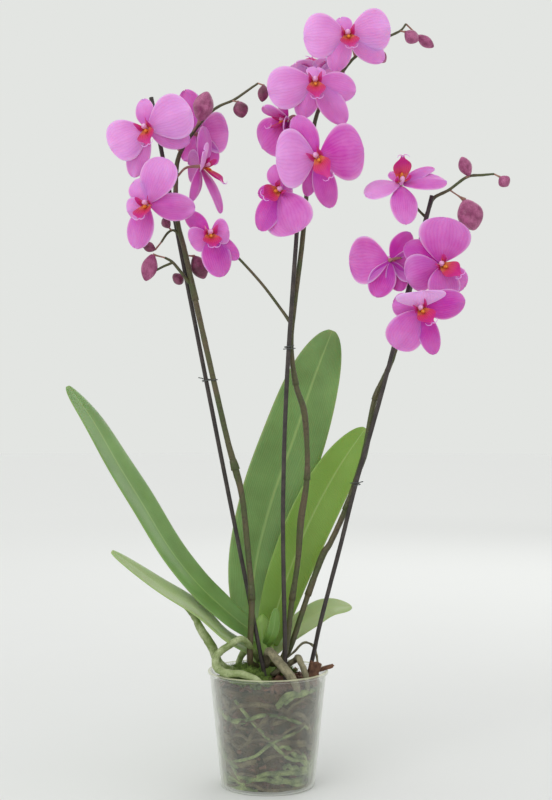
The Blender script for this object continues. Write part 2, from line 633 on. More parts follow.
def scatterTree(name, itemKind):
    # instances of a chip or a moss strand on the faces of a surface, at random sizes and turns
    tree = bpy.data.node_groups.new(name, "GeometryNodeTree")
    tree.interface.new_socket(name="Surface", in_out="INPUT", socket_type="NodeSocketGeometry")
    for label, kind, value in (("Density", "NodeSocketFloat", 1000.0), ("Seed", "NodeSocketInt", 1),
                               ("Length", "NodeSocketFloat", 0.006), ("Width", "NodeSocketFloat", 0.003),
                               ("Finish", "NodeSocketMaterial", None)):
        socket = tree.interface.new_socket(name=label, in_out="INPUT", socket_type=kind)
        if value is not None:
            socket.default_value = value
    tree.interface.new_socket(name="Geometry", in_out="OUTPUT", socket_type="NodeSocketGeometry")
    entry = tree.nodes.new("NodeGroupInput")
    leave = tree.nodes.new("NodeGroupOutput")
    spread = tree.nodes.new("GeometryNodeDistributePointsOnFaces")
    link = tree.links.new
    link(entry.outputs["Surface"], spread.inputs["Mesh"])
    link(entry.outputs["Density"], spread.inputs["Density"])
    link(entry.outputs["Seed"], spread.inputs["Seed"])
    if itemKind == "chip":
        item = tree.nodes.new("GeometryNodeMeshCube")
        size = tree.nodes.new("ShaderNodeCombineXYZ")
        link(entry.outputs["Length"], size.inputs[0])
        link(entry.outputs["Width"], size.inputs[1])
        flat = tree.nodes.new("ShaderNodeMath")
        flat.operation = "MULTIPLY"
        flat.inputs[1].default_value = 0.5
        link(entry.outputs["Width"], flat.inputs[0])
        link(flat.outputs[0], size.inputs[2])
        link(size.outputs[0], item.inputs["Size"])
        for label in ("Vertices X", "Vertices Y", "Vertices Z"):
            item.inputs[label].default_value = 3
    else:
        item = tree.nodes.new("GeometryNodeMeshCone")
        item.inputs["Vertices"].default_value = 5
        link(entry.outputs["Width"], item.inputs["Radius Bottom"])
        link(entry.outputs["Length"], item.inputs["Depth"])
    place = tree.nodes.new("GeometryNodeInstanceOnPoints")
    link(spread.outputs["Points"], place.inputs["Points"])
    link(item.outputs["Mesh"], place.inputs["Instance"])
    turn = tree.nodes.new("FunctionNodeRandomValue")
    turn.data_type = "FLOAT_VECTOR"
    reach = 0.6 if itemKind == "chip" else 1.3
    turn.inputs[0].default_value = (-reach, -reach, 0.0)
    turn.inputs[1].default_value = (reach, reach, 6.28)
    link(turn.outputs[0], place.inputs["Rotation"])
    grow = tree.nodes.new("FunctionNodeRandomValue")
    grow.data_type = "FLOAT_VECTOR"
    grow.inputs[0].default_value = (0.5, 0.5, 0.6)
    grow.inputs[1].default_value = (1.5, 1.4, 1.6)
    link(grow.outputs[0], place.inputs["Scale"])
    real = tree.nodes.new("GeometryNodeRealizeInstances")
    link(place.outputs[0], real.inputs[0])
    # push the corners about so that no two chips are alike
    shift = tree.nodes.new("GeometryNodeSetPosition")
    where = tree.nodes.new("GeometryNodeInputPosition")
    cloud = tree.nodes.new("ShaderNodeTexNoise")
    cloud.inputs["Scale"].default_value = 260.0
    middle = tree.nodes.new("ShaderNodeVectorMath")
    middle.operation = "SUBTRACT"
    middle.inputs[1].default_value = (0.5, 0.5, 0.5)
    amount = tree.nodes.new("ShaderNodeVectorMath")
    amount.operation = "SCALE"
    amount.inputs["Scale"].default_value = 0.005 if itemKind == "chip" else 0.002
    link(where.outputs[0], cloud.inputs["Vector"])
    link(cloud.outputs["Color"], middle.inputs[0])
    link(middle.outputs[0], amount.inputs[0])
    link(real.outputs[0], shift.inputs["Geometry"])
    link(amount.outputs[0], shift.inputs["Offset"])
    coat = tree.nodes.new("GeometryNodeSetMaterial")
    link(shift.outputs[0], coat.inputs["Geometry"])
    link(entry.outputs["Finish"], coat.inputs["Material"])
    link(coat.outputs[0], leave.inputs[0])
    return tree


def scatterOn(name, shape, tree, nodes, values):
    piece = meshPiece(name, shape, values["Finish"])
    modifier = piece.modifiers.new("Scatter", "NODES")
    modifier.node_group = tree
    for item in tree.interface.items_tree:
        if item.in_out == "INPUT" and item.name in values:
            modifier[item.identifier] = values[item.name]
    plainMesh(piece)
    piece.data.set_sharp_from_angle(angle=math.radians(35))
    finishPiece(piece, nodes)


def discShape(radius, lift):
    shape = bmesh.new()
    bmesh.ops.create_circle(shape, cap_ends=True, segments=24, radius=radius)
    bmesh.ops.translate(shape, verts=shape.verts, vec=(0.0, 0.0, lift))
    return shape


makeMix()
makeWallRoots()
chipTree = scatterTree("barkScatter", "chip")
mossTree = scatterTree("mossScatter", "strand")
scatterOn("looseBark", discShape(0.050, mixSize["top"] - 0.0005), chipTree, [],
          {"Density": mixSize["chipDensity"], "Seed": 3, "Length": 0.009, "Width": 0.0055,
           "Finish": skins["barkSkin"]})


def moundShape(x, y, z, wide, tall):
    shape = bmesh.new()
    bmesh.ops.create_icosphere(shape, subdivisions=3, radius=1.0)
    for vert in shape.verts:
        vert.co = Vector((x + vert.co.x * wide, y + vert.co.y * wide, z + max(vert.co.z, 0.0) * tall))
    return shape


for index, (x, y, wide, tall) in enumerate(mossMounds):
    mound = moundShape(x, y, mixSize["top"] - 0.001, wide, tall)
    scatterOn("mossMound" + str(index), mound, mossTree, [],
              {"Density": mixSize["mossDensity"], "Seed": 9 + index, "Length": 0.0064, "Width": 0.0007,
               "Finish": skins["mossSkin"]})


def makeWallChips():
    # chips pressed against the wall from inside
    shape = bmesh.new()
    rings = []
    for height in (0.008, 0.040, 0.070, 0.098):
        radius = wallRadius(height) - potSize["wall"] - mixSize["gap"] - 0.0045
        rings.append([shape.verts.new(around(radius, 2 * math.pi * step / 48, height)) for step in range(48)])
    bridgeRings(shape, rings)
    scatterOn("wallChips", shape, chipTree, [],
              {"Density": mixSize["chipDensity"] * 0.6, "Seed": 12, "Length": 0.0065, "Width": 0.0050,
               "Finish": skins["barkSkin"]})


makeWallChips()


def mossBlob(low, high):
    shape = bmesh.new()
    bmesh.ops.create_icosphere(shape, subdivisions=4, radius=1.0)
    middle = (low + high) / 2
    half = (high - low) / 2
    for vert in shape.verts:
        swell = 0.88 + 0.14 * noise.noise(vert.co * 5.0)
        vert.co = Vector([vert.co[axis] * half[axis] * swell + middle[axis] for axis in range(3)])
    return shape


def makeMoss():
    low, high = [Vector(corner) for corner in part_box("moss_clump")]
    core = meshPiece("mossCore", mossBlob(low, high), skins["mossSkin"])
    finishPiece(core, ["moss_clump"])
    scatterOn("mossStrands", mossBlob(low, high), mossTree, ["moss_clump"],
              {"Density": mixSize["mossDensity"], "Seed": 5, "Length": 0.0042, "Width": 0.00045,
               "Finish": skins["mossSkin"]})


makeMoss()


# bark chips: middle, size, and turn about X, Y and Z in degrees
barkChips = {
    "bark_chip_tall": ((0.0445, -0.019, 0.1145), (0.011, 0.005, 0.022), (8, 14, 20)),
    "bark_chip_flat": ((0.041, 0.001, 0.1070), (0.017, 0.012, 0.005), (0, -12, 30)),
    "bark_chip_stick": ((0.054, -0.002, 0.1155), (0.022, 0.005, 0.0035), (0, -18, -8)),
    "bark_chip_back": ((0.012, 0.040, 0.1062), (0.018, 0.013, 0.006), (6, 4, 60)),
}


def makeChips():
    # noise_vector shifts its noise by this seed, and by the clock without one
    noise.seed_set(mixSize["seed"])
    for name, (middle, size, turn) in barkChips.items():
        shape = bmesh.new()
        bmesh.ops.create_cube(shape, size=1.0)
        bmesh.ops.subdivide_edges(shape, edges=shape.edges, cuts=7, use_grid_fill=True)
        spin = Matrix.Rotation(math.radians(turn[2]), 3, "Z") @ Matrix.Rotation(
            math.radians(turn[1]), 3, "Y") @ Matrix.Rotation(math.radians(turn[0]), 3, "X")
        for vert in shape.verts:
            corner = noise.noise_vector(Vector(middle) * 90.0 + vert.co * 3.0)
            local = Vector([(vert.co[axis] + 0.12 * corner[axis]) * size[axis] for axis in range(3)])
            flake = noise.noise(Vector((local.x * 300, local.y * 300, local.z * 1100)))
            local += local.normalized() * 0.0006 * flake
            vert.co = spin @ local + Vector(middle)
        chip = meshPiece(name + "Flake", shape, skins["barkSkin"])
        chip.data.set_sharp_from_angle(angle=math.radians(35))
        finishPiece(chip, [name])


makeChips()
print("mix, moss and bark made")


# aerial roots, from the crown over the mix
roots = {
    "root_upright": [
        (-0.012, 0.006, 0.112, 0.0034), (-0.030, -0.008, 0.114, 0.0038), (-0.047, -0.015, 0.122, 0.0042),
        (-0.056, -0.019, 0.142, 0.0046), (-0.066, -0.022, 0.158, 0.0042), (-0.072, -0.024, 0.170, 0.0030),
        (-0.080, -0.025, 0.178, 0.0013), (-0.096, -0.026, 0.192, 0.0008),
    ],
    "root_loop": [
        (-0.010, 0.004, 0.124, 0.0030), (-0.024, -0.022, 0.148, 0.0032), (-0.040, -0.028, 0.142, 0.0035),
        (-0.050, -0.034, 0.134, 0.0037), (-0.050, -0.038, 0.124, 0.0038), (-0.040, -0.043, 0.119, 0.0038),
        (-0.026, -0.047, 0.119, 0.0034), (-0.012, -0.050, 0.115, 0.0026), (-0.005, -0.051, 0.111, 0.0014),
    ],
    "root_front": [
        (-0.002, 0.006, 0.118, 0.0038), (0.001, -0.014, 0.135, 0.0042), (0.009, -0.028, 0.129, 0.0046),
        (0.019, -0.039, 0.119, 0.0046), (0.026, -0.043, 0.110, 0.0040), (0.029, -0.042, 0.100, 0.0034),
    ],
    "root_side": [
        (0.004, 0.006, 0.108, 0.0026), (0.026, -0.004, 0.124, 0.0030), (0.030, -0.020, 0.130, 0.0031),
        (0.033, -0.029, 0.125, 0.0031), (0.037, -0.034, 0.115, 0.0030), (0.039, -0.034, 0.100, 0.0026),
    ],
    "root_thin": [
        (0.004, 0.022, 0.112, 0.0012), (0.024, 0.024, 0.126, 0.0013), (0.036, 0.024, 0.137, 0.0013),
        (0.046, 0.022, 0.134, 0.0012), (0.050, 0.018, 0.120, 0.0011), (0.050, 0.014, 0.102, 0.0010),
    ],
    "root_back": [
        (-0.010, 0.024, 0.116, 0.0032), (-0.018, 0.034, 0.128, 0.0035), (-0.026, 0.039, 0.124, 0.0034),
        (-0.031, 0.039, 0.112, 0.0031), (-0.033, 0.037, 0.098, 0.0028),
    ],
}
# flower spikes: centre line from the crown to the tip, with the radius at each point
spikeRoutes = {
    "spike_left": [
        (-0.008, 0.010, 0.116, 0.0024), (-0.016, -0.005, 0.121, 0.0026), (-0.018, -0.010, 0.132, 0.0026),
        (-0.016, -0.014, 0.186, 0.0025), (-0.019, -0.016, 0.226, 0.0025), (-0.025, -0.016, 0.285, 0.0024),
        (-0.032, -0.015, 0.315, 0.0029), (-0.040, -0.014, 0.344, 0.0024), (-0.054, -0.012, 0.404, 0.0023),
        (-0.072, -0.008, 0.483, 0.0023), (-0.083, -0.006, 0.533, 0.0022), (-0.090, -0.005, 0.561, 0.0021),
        (-0.092, -0.004, 0.593, 0.0020), (-0.090, -0.004, 0.623, 0.0019), (-0.080, -0.002, 0.644, 0.0017),
        (-0.062, 0.002, 0.668, 0.0014), (-0.049, 0.006, 0.679, 0.0012), (-0.034, 0.008, 0.686, 0.0011),
        (-0.018, 0.008, 0.697, 0.0010), (-0.010, 0.006, 0.702, 0.0009),
    ],
    "spike_centre": [
        (-0.002, 0.012, 0.118, 0.0022), (0.010, 0.001, 0.121, 0.0024), (0.018, 0.000, 0.136, 0.0024),
        (0.024, 0.004, 0.183, 0.0023), (0.030, 0.006, 0.223, 0.0023), (0.033, 0.006, 0.263, 0.0029),
        (0.039, 0.005, 0.304, 0.0023), (0.039, 0.003, 0.339, 0.0022), (0.036, 0.000, 0.373, 0.0027),
        (0.028, -0.001, 0.399, 0.0022), (0.023, -0.001, 0.439, 0.0022), (0.027, -0.001, 0.484, 0.0022),
        (0.034, -0.002, 0.539, 0.0021), (0.038, -0.003, 0.584, 0.0019), (0.043, -0.004, 0.633, 0.0018),
        (0.048, -0.004, 0.666, 0.0017), (0.058, -0.004, 0.688, 0.0016), (0.070, -0.002, 0.706, 0.0015),
        (0.085, 0.000, 0.725, 0.0013), (0.102, 0.000, 0.738, 0.0012), (0.117, 0.000, 0.746, 0.0011),
        (0.132, 0.000, 0.753, 0.0010), (0.138, 0.000, 0.760, 0.0009),
    ],
    "spike_right": [
        (0.000, 0.018, 0.120, 0.0022), (0.013, 0.014, 0.123, 0.0024), (0.022, 0.010, 0.134, 0.0024),
        (0.040, 0.012, 0.187, 0.0023), (0.055, 0.014, 0.227, 0.0029), (0.063, 0.014, 0.240, 0.0024),
        (0.078, 0.014, 0.273, 0.0023), (0.090, 0.012, 0.308, 0.0022), (0.098, 0.010, 0.334, 0.0027),
        (0.107, 0.006, 0.384, 0.0022), (0.120, 0.004, 0.414, 0.0022), (0.127, 0.002, 0.434, 0.0022),
        (0.137, 0.000, 0.474, 0.0021), (0.147, -0.002, 0.519, 0.0020), (0.156, -0.003, 0.559, 0.0018),
        (0.161, -0.003, 0.576, 0.0016), (0.166, -0.003, 0.586, 0.0015), (0.181, -0.002, 0.594, 0.0013),
        (0.199, 0.000, 0.607, 0.0012), (0.215, 0.000, 0.609, 0.0011), (0.226, 0.000, 0.610, 0.0009),
    ],
}
# side branches that grew with their spike
branchRoutes = {
    "spike_left": [
        [(-0.088, -0.005, 0.548, 0.0012), (-0.094, -0.006, 0.553, 0.0010), (-0.100, -0.007, 0.550, 0.0010),
         (-0.106, -0.008, 0.541, 0.0009)],
        [(-0.078, -0.007, 0.500, 0.0014), (-0.088, -0.010, 0.513, 0.0013), (-0.095, -0.012, 0.521, 0.0012),
         (-0.102, -0.013, 0.525, 0.0010)],
        [(-0.095, -0.012, 0.520, 0.0011), (-0.104, -0.014, 0.516, 0.0010), (-0.111, -0.015, 0.512, 0.0009)],
    ],
    "spike_centre": [
        [(0.022, -0.001, 0.462, 0.0016), (0.013, 0.002, 0.475, 0.0013), (-0.006, 0.000, 0.500, 0.0012),
         (-0.028, -0.006, 0.524, 0.0011), (-0.041, -0.012, 0.536, 0.0010)],
    ],
    "spike_right": [
        [(0.158, -0.003, 0.566, 0.0014), (0.152, -0.006, 0.571, 0.0011), (0.147, -0.009, 0.576, 0.0010)],
    ],
}
stakeFoot = 0.045
stakeRadius = 0.0022
# support stakes
stakeRoutes = {
    "stake_left": [(0.0096, -0.009, stakeFoot), (-0.006, -0.008, 0.124), (-0.062, -0.003, 0.405),
                   (-0.117, 0.002, 0.687)],
    "stake_centre": [(0.018, -0.009, stakeFoot), (0.017, -0.009, 0.135), (0.015, -0.009, 0.274),
                     (0.019, -0.008, 0.407), (0.029, -0.009, 0.556)],
    "stake_right": [(0.027, 0.014, stakeFoot), (0.045, 0.013, 0.124), (0.053, 0.007, 0.162),
                    (0.074, 0.006, 0.243), (0.088, 0.005, 0.299), (0.117, -0.002, 0.404),
                    (0.163, -0.010, 0.587)],
}
tieHeights = {"left": 0.404, "centre": 0.436, "right": 0.300}
stemLooks = dict(rootSides=16, spikeSides=16, stakeSides=14, tieWire=0.0005, tieTurns=1.2, swell=1.22)
oldRoots = ("root_front", "root_side", "root_thin")

for name, points in roots.items():
    shape = bmesh.new()
    addTube(shape, smoothRoute(points, 8), stemLooks["rootSides"], roughness=0.0006)
    root = meshPiece(name + "Skin", shape, skins["oldRootSkin"] if name in oldRoots else skins["rootSkin"])
    finishPiece(root, [name])

crownLow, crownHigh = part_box("crown")
crownX = (crownLow[0] + crownHigh[0]) / 2
crownY = (crownLow[1] + crownHigh[1]) / 2
crownShape = ((0.096, 0.0125), (0.112, 0.0132), (0.130, 0.0125), (0.148, 0.0100), (0.160, 0.0070),
              (0.166, 0.0030))
shape = bmesh.new()
crownLine = smoothRoute([(crownX, crownY, height, radius) for height, radius in crownShape], 5)
addTube(shape, crownLine, 32, roughness=0.0008)
finishPiece(meshPiece("crownStem", shape, leafSkin), ["crown"])


def addSheath(shape, route, place):
    # the papery bract that wraps a knuckle of the spike
    index = min(range(len(route)), key=lambda i: (Vector(route[i][:3]) - Vector(place[:3])).length)
    index = min(max(index, 2), len(route) - 3)
    line = route[index:index + 4]
    sheath = [(*point[:3], point[3] * (1.30 - 0.07 * step)) for step, point in enumerate(line)]
    addTube(shape, sheath, 12)


spikeLines = {}
for name, points in spikeRoutes.items():
    points = [(*point[:3], point[3] * stemLooks["swell"]) for point in points]
    main = smoothRoute(points, 8)
    line = list(main)
    shape = bmesh.new()
    addTube(shape, main, stemLooks["spikeSides"], roughness=0.00025)
    for branch in branchRoutes[name]:
        twig = smoothRoute([(*point[:3], point[3] * stemLooks["swell"]) for point in branch], 6)
        line += twig[1:]
        addTube(shape, twig, 10)
    for point in points[3:-3:3]:
        if point[3] > 0.0026:
            addSheath(shape, main, point)
    spikeLines[name] = line
    finishPiece(meshPiece(name + "Stem", shape, skins["stemSkin"]), [name])

stakeLines = {}
for name, points in stakeRoutes.items():
    shape = bmesh.new()
    stakeLines[name] = smoothRoute([(*point, stakeRadius) for point in points], 10)
    addTube(shape, stakeLines[name], stemLooks["stakeSides"], roughness=0.00015)
    finishPiece(meshPiece(name + "Rod", shape, skins["stakeSkin"]), [name])


def pointAtHeight(line, height):
    for low, high in zip(line, line[1:]):
        if low[2] <= height <= high[2]:
            return low.lerp(high, (height - low[2]) / (high[2] - low[2]))
    return line[-1]


for side, height in tieHeights.items():
    spike = pointAtHeight(smoothRoute(spikeRoutes["spike_" + side], 6), height)
    stake = pointAtHeight(stakeLines["stake_" + side], height)
    apart = Vector((stake[0] - spike[0], stake[1] - spike[1], 0.0))
    middle = Vector((spike[0] + stake[0], spike[1] + stake[1], 2 * height)) / 2
    along = apart.normalized()
    across = Vector((-along.y, along.x, 0.0))
    room = max(spike[3] * stemLooks["swell"], stakeRadius) + stemLooks["tieWire"] + 0.0006
    longWay = apart.length / 2 + room
    route = []
    for index in range(int(24 * stemLooks["tieTurns"]) + 1):
        angle = 2 * math.pi * index / 24
        squash = math.copysign(abs(math.cos(angle)) ** 0.7, math.cos(angle))
        place = middle + along * longWay * squash + across * room * 1.25 * math.sin(angle)
        place.z += 0.0022 * (index / 24 - 0.5)
        route.append((*place, stemLooks["tieWire"]))
    first, last = Vector(route[0][:3]), Vector(route[-1][:3])
    route.insert(0, (*(first + (first - middle) * 0.5 - across * 0.003), stemLooks["tieWire"]))
    route.append((*(last + (last - middle) * 0.6), stemLooks["tieWire"]))
    shape = bmesh.new()
    addTube(shape, route, 8)
    finishPiece(meshPiece("tie" + side.title() + "Wire", shape, skins["tieSkin"]), ["tie_" + side])
print("stems made")


# leaves: centre line, half width, the way the upper face looks, and how full the base is
leaves = {
    "leaf_left_long": dict(
        route=[(-0.008, 0.012, 0.145), (-0.028, 0.006, 0.160), (-0.045, -0.003, 0.176),
               (-0.069, -0.012, 0.200), (-0.097, -0.018, 0.236), (-0.124, -0.020, 0.281),
               (-0.148, -0.020, 0.320), (-0.174, -0.016, 0.364), (-0.199, -0.010, 0.398)],
        halfWidth=0.023, face=(0.78, -0.45, 0.40), base=0.50),
    "leaf_left_low": dict(
        route=[(-0.010, 0.010, 0.128), (-0.026, 0.000, 0.138), (-0.045, -0.016, 0.153),
               (-0.071, -0.030, 0.179), (-0.105, -0.040, 0.203), (-0.151, -0.048, 0.238)],
        halfWidth=0.018, face=(0.45, -0.30, 0.84), base=0.50),
    "leaf_centre": dict(
        route=[(-0.010, 0.022, 0.150), (-0.016, 0.032, 0.176), (-0.012, 0.040, 0.221),
               (0.004, 0.050, 0.282), (0.026, 0.058, 0.343), (0.047, 0.064, 0.405), (0.067, 0.068, 0.457)],
        halfWidth=0.034, face=(0.10, -0.98, 0.15), base=0.40),
    "leaf_right": dict(
        route=[(-0.002, 0.016, 0.138), (0.007, 0.021, 0.166), (0.020, 0.026, 0.206),
               (0.043, 0.034, 0.261), (0.071, 0.044, 0.312), (0.101, 0.056, 0.355)],
        halfWidth=0.024, face=(0.30, -0.90, 0.30), base=0.50),
    "leaf_right_low": dict(
        route=[(0.000, 0.020, 0.126), (0.014, 0.028, 0.141), (0.043, 0.037, 0.160),
               (0.063, 0.042, 0.170), (0.086, 0.046, 0.171)],
        halfWidth=0.016, face=(0.0, -0.50, 0.87), base=0.55),
    "leaf_young": dict(
        route=[(-0.004, 0.010, 0.134), (0.002, 0.000, 0.146), (0.006, -0.002, 0.158), (0.008, -0.002, 0.176)],
        halfWidth=0.006, face=(0.1, -0.98, 0.1), base=0.70),
}
# 0.5 is the plain green, lower is fresher, higher is paler
leafTones = {"leaf_left_low": 0.80, "leaf_right": 0.12, "leaf_right_low": 0.84, "leaf_young": 0.35,
             "leaf_left_long": 0.46}
leafMake = dict(rows=44, columns=14, thickness=0.0014, waviness=0.0010, fullBy=0.6, tipLength=0.402,
                fold=0.30, foldFade=0.6, curlUnder=0.10)


def makeLeaf(name, leaf):
    route = smoothRoute(leaf["route"], 10)
    face = Vector(leaf["face"]).normalized()
    rows = []
    for row in range(leafMake["rows"] + 1):
        t = math.sin(math.pi / 2 * row / leafMake["rows"]) * 0.5 + row / leafMake["rows"] * 0.5
        at = t * (len(route) - 1)
        index = min(int(at), len(route) - 2)
        here = route[index].lerp(route[index + 1], at - index)
        along = (route[index + 1] - route[index]).normalized()
        across = along.cross(face).normalized()
        up = across.cross(along).normalized()
        fullness = leaf["base"]
        fullness += (1.0 - leaf["base"]) * math.sin(min(t / leafMake["fullBy"], 1.0) * math.pi / 2)
        beyond = max((t - leafMake["fullBy"]) / leafMake["tipLength"], 0.0)
        tip = math.sqrt(max(1.0 - beyond ** 2, 0.0))
        half = leaf["halfWidth"] * fullness * tip
        fold = leafMake["fold"] * (1.0 - leafMake["foldFade"] * t)
        line = []
        for column in range(leafMake["columns"] + 1):
            u = 2.0 * column / leafMake["columns"] - 1.0
            rise = (math.sqrt(u * u + 0.01) - 0.1) * half * fold
            rise -= leafMake["curlUnder"] * half * abs(u) ** 3
            wave = leafMake["waviness"] * math.sin(7.0 * t + 3.0 * u) * abs(u)
            line.append(here + across * u * half + up * (rise + wave))
        rows.append(line)
    shape = bmesh.new()
    addBlade(shape, rows, tone=leafTones.get(name, 0.5))
    blade = meshPiece(name + "Blade", shape, leafSkin)
    thicken(blade, leafMake["thickness"])
    finishPiece(blade, [name])


for name, leaf in leaves.items():
    makeLeaf(name, leaf)
print("leaves made")


# broad petals, narrow sepals, the three-lobed lip, the column and the stalk
# flowers: middle, the way each looks, the tip and width of each petal and sepal, the lip's reach,
# and where the stalk leaves its spike
flowers = {
    "flower_left_1": dict(
        middle=(-0.118, -0.035, 0.649), face=(-0.20, -0.95, -0.15), spike="spike_left",
        joint=(-0.090, -0.004, 0.632), lip=(0.003, -0.012, -0.013),
        tepals=[(-0.004, 0.006, 0.030, 0.020), (-0.036, -0.002, -0.019, 0.042),
                (0.043, 0.002, 0.019, 0.046), (-0.015, 0.010, -0.046, 0.024),
                (0.041, 0.010, -0.011, 0.026)]),
    "flower_left_2": dict(
        middle=(-0.072, 0.018, 0.653), face=(0.45, 0.85, 0.10), spike="spike_left",
        joint=(-0.080, -0.002, 0.640), lip=(0.006, 0.012, -0.008),
        tepals=[(0.004, 0.018, 0.030, 0.024), (-0.012, 0.006, 0.046, 0.030),
                (0.032, -0.004, 0.002, 0.042), (-0.014, 0.016, -0.024, 0.022),
                (0.020, 0.004, -0.030, 0.022)]),
    "flower_left_3": dict(
        middle=(-0.066, -0.008, 0.616), face=(0.86, -0.45, -0.10), spike="spike_left",
        joint=(-0.092, -0.004, 0.605), lip=(0.012, -0.006, -0.012),
        tepals=[(0.004, 0.008, 0.041, 0.030), (0.004, -0.032, 0.010, 0.030),
                (-0.014, 0.020, 0.004, 0.034), (-0.010, -0.008, -0.036, 0.020),
                (0.020, 0.004, -0.046, 0.020)]),
    "flower_left_4": dict(
        middle=(-0.116, -0.050, 0.573), face=(-0.30, -0.92, -0.20), spike="spike_left",
        joint=(-0.091, -0.005, 0.570), lip=(-0.003, -0.012, -0.011),
        tepals=[(0.018, -0.002, 0.044, 0.038), (-0.013, 0.006, 0.024, 0.024),
                (-0.020, 0.002, -0.006, 0.022), (-0.013, 0.008, -0.042, 0.028),
                (0.045, 0.010, -0.003, 0.028)]),
    "flower_left_5": dict(
        middle=(-0.057, -0.030, 0.547), face=(0.20, -0.96, -0.15), spike="spike_centre",
        joint=(-0.038, -0.011, 0.534), lip=(0.003, -0.011, -0.010),
        tepals=[(-0.023, 0.008, 0.021, 0.018), (-0.019, -0.002, -0.009, 0.026),
                (0.019, -0.003, 0.003, 0.026), (0.012, 0.006, -0.042, 0.030),
                (0.028, 0.010, -0.024, 0.018)]),
    "flower_centre_1": dict(
        middle=(0.078, -0.030, 0.742), face=(0.05, -0.96, -0.20), spike="spike_centre",
        joint=(0.086, 0.000, 0.726), lip=(0.002, -0.013, -0.012),
        tepals=[(-0.006, 0.014, 0.020, 0.018), (-0.043, 0.000, -0.002, 0.044),
                (0.042, 0.000, 0.007, 0.042), (-0.014, 0.008, -0.034, 0.024),
                (0.036, 0.008, -0.024, 0.024)]),
    "flower_centre_2": dict(
        middle=(0.050, 0.022, 0.716), face=(-0.15, 0.35, 0.92), spike="spike_centre",
        joint=(0.068, -0.002, 0.703), lip=(-0.004, 0.010, 0.010),
        tepals=[(0.004, 0.030, 0.000, 0.026), (-0.030, 0.004, 0.000, 0.034),
                (0.028, -0.002, 0.006, 0.034), (-0.022, -0.020, 0.006, 0.024),
                (0.010, -0.020, 0.010, 0.024)]),
    "flower_centre_3": dict(
        middle=(0.046, -0.036, 0.695), face=(0.02, -0.96, -0.20), spike="spike_centre",
        joint=(0.051, -0.004, 0.672), lip=(0.001, -0.013, -0.014),
        tepals=[(0.002, 0.012, 0.016, 0.020), (-0.046, 0.002, -0.010, 0.042),
                (0.040, 0.004, -0.010, 0.030), (-0.014, 0.010, -0.034, 0.024),
                (0.030, 0.008, -0.040, 0.026)]),
    "flower_centre_4": dict(
        middle=(0.020, -0.010, 0.663), face=(-0.75, -0.45, -0.35), spike="spike_centre",
        joint=(0.044, -0.004, 0.640), lip=(-0.010, -0.006, -0.006),
        tepals=[(-0.008, 0.006, 0.026, 0.022), (-0.024, -0.014, 0.010, 0.026),
                (-0.026, 0.016, -0.026, 0.044), (0.008, -0.010, -0.028, 0.024),
                (-0.004, -0.022, -0.018, 0.022)]),
    "flower_centre_5": dict(
        middle=(0.048, -0.048, 0.619), face=(-0.10, -0.97, -0.15), spike="spike_centre",
        joint=(0.041, -0.004, 0.610), lip=(0.008, -0.013, -0.016),
        tepals=[(-0.022, 0.004, 0.040, 0.026), (-0.040, -0.004, -0.003, 0.058),
                (0.045, 0.002, 0.008, 0.056), (-0.010, 0.027, -0.034, 0.016),
                (0.014, 0.024, -0.046, 0.024)]),
    "flower_centre_6": dict(
        middle=(0.012, -0.031, 0.590), face=(-0.35, -0.90, -0.20), spike="spike_centre",
        joint=(0.036, -0.003, 0.570), lip=(-0.010, -0.011, -0.006),
        tepals=[(-0.004, 0.008, 0.026, 0.024), (-0.020, 0.004, -0.040, 0.026),
                (0.012, 0.018, 0.006, 0.018), (0.014, -0.006, -0.044, 0.052),
                (-0.022, 0.006, -0.004, 0.016)]),
    "flower_right_1": dict(
        middle=(0.131, -0.024, 0.597), face=(0.05, -0.66, 0.75), spike="spike_right",
        joint=(0.149, -0.008, 0.574), lip=(0.000, -0.008, 0.014),
        tepals=[(0.003, -0.020, -0.042, 0.028), (-0.036, -0.004, -0.012, 0.030),
                (0.045, -0.002, 0.002, 0.030), (-0.009, 0.012, 0.014, 0.014),
                (0.034, 0.014, 0.018, 0.016)]),
    "flower_right_2": dict(
        middle=(0.121, -0.019, 0.522), face=(0.10, 0.98, 0.05), spike="spike_right",
        joint=(0.147, -0.002, 0.519), lip=(0.004, 0.012, -0.008),
        tepals=[(0.020, 0.006, 0.028, 0.022), (-0.041, 0.000, 0.000, 0.048),
                (0.028, 0.000, -0.008, 0.034), (-0.015, 0.003, -0.036, 0.028),
                (0.012, 0.006, -0.030, 0.022)]),
    "flower_right_3": dict(
        middle=(0.169, -0.034, 0.516), face=(0.25, -0.95, -0.10), spike="spike_right",
        joint=(0.150, -0.002, 0.534), lip=(0.011, -0.012, -0.008),
        tepals=[(-0.034, 0.008, 0.020, 0.028), (0.006, -0.002, 0.046, 0.056),
                (0.004, -0.006, -0.032, 0.034), (-0.034, 0.002, -0.012, 0.038),
                (0.024, 0.010, -0.022, 0.026)]),
    "flower_right_4": dict(
        middle=(0.147, -0.052, 0.472), face=(0.12, -0.97, -0.15), spike="spike_right",
        joint=(0.140, -0.001, 0.486), lip=(0.006, -0.013, -0.010), bend=(0.012, 0.008, 0.004),
        tepals=[(0.000, -0.016, 0.016, 0.050), (-0.024, 0.002, -0.038, 0.038),
                (0.044, 0.002, 0.008, 0.030), (-0.026, 0.006, 0.006, 0.024),
                (0.015, 0.006, -0.044, 0.022)]),
}
flowerMake = dict(rows=14, columns=12, thickness=0.0005, claw=0.0024, arch=0.09, droop=0.14, ripple=0.0010,
                  petalWidest=0.60, sepalWidest=0.50, broadFrom=0.75, sepalBehind=0.0012, sepalDeeper=0.22,
                  lipLength=1.5, lipWidth=0.0082, earLength=0.0145, earWidth=0.0068, columnLength=0.008,
                  stalkBehind=0.009, stalkRadii=(0.0011, 0.0012, 0.0015, 0.0022), stalkRidge=0.06)
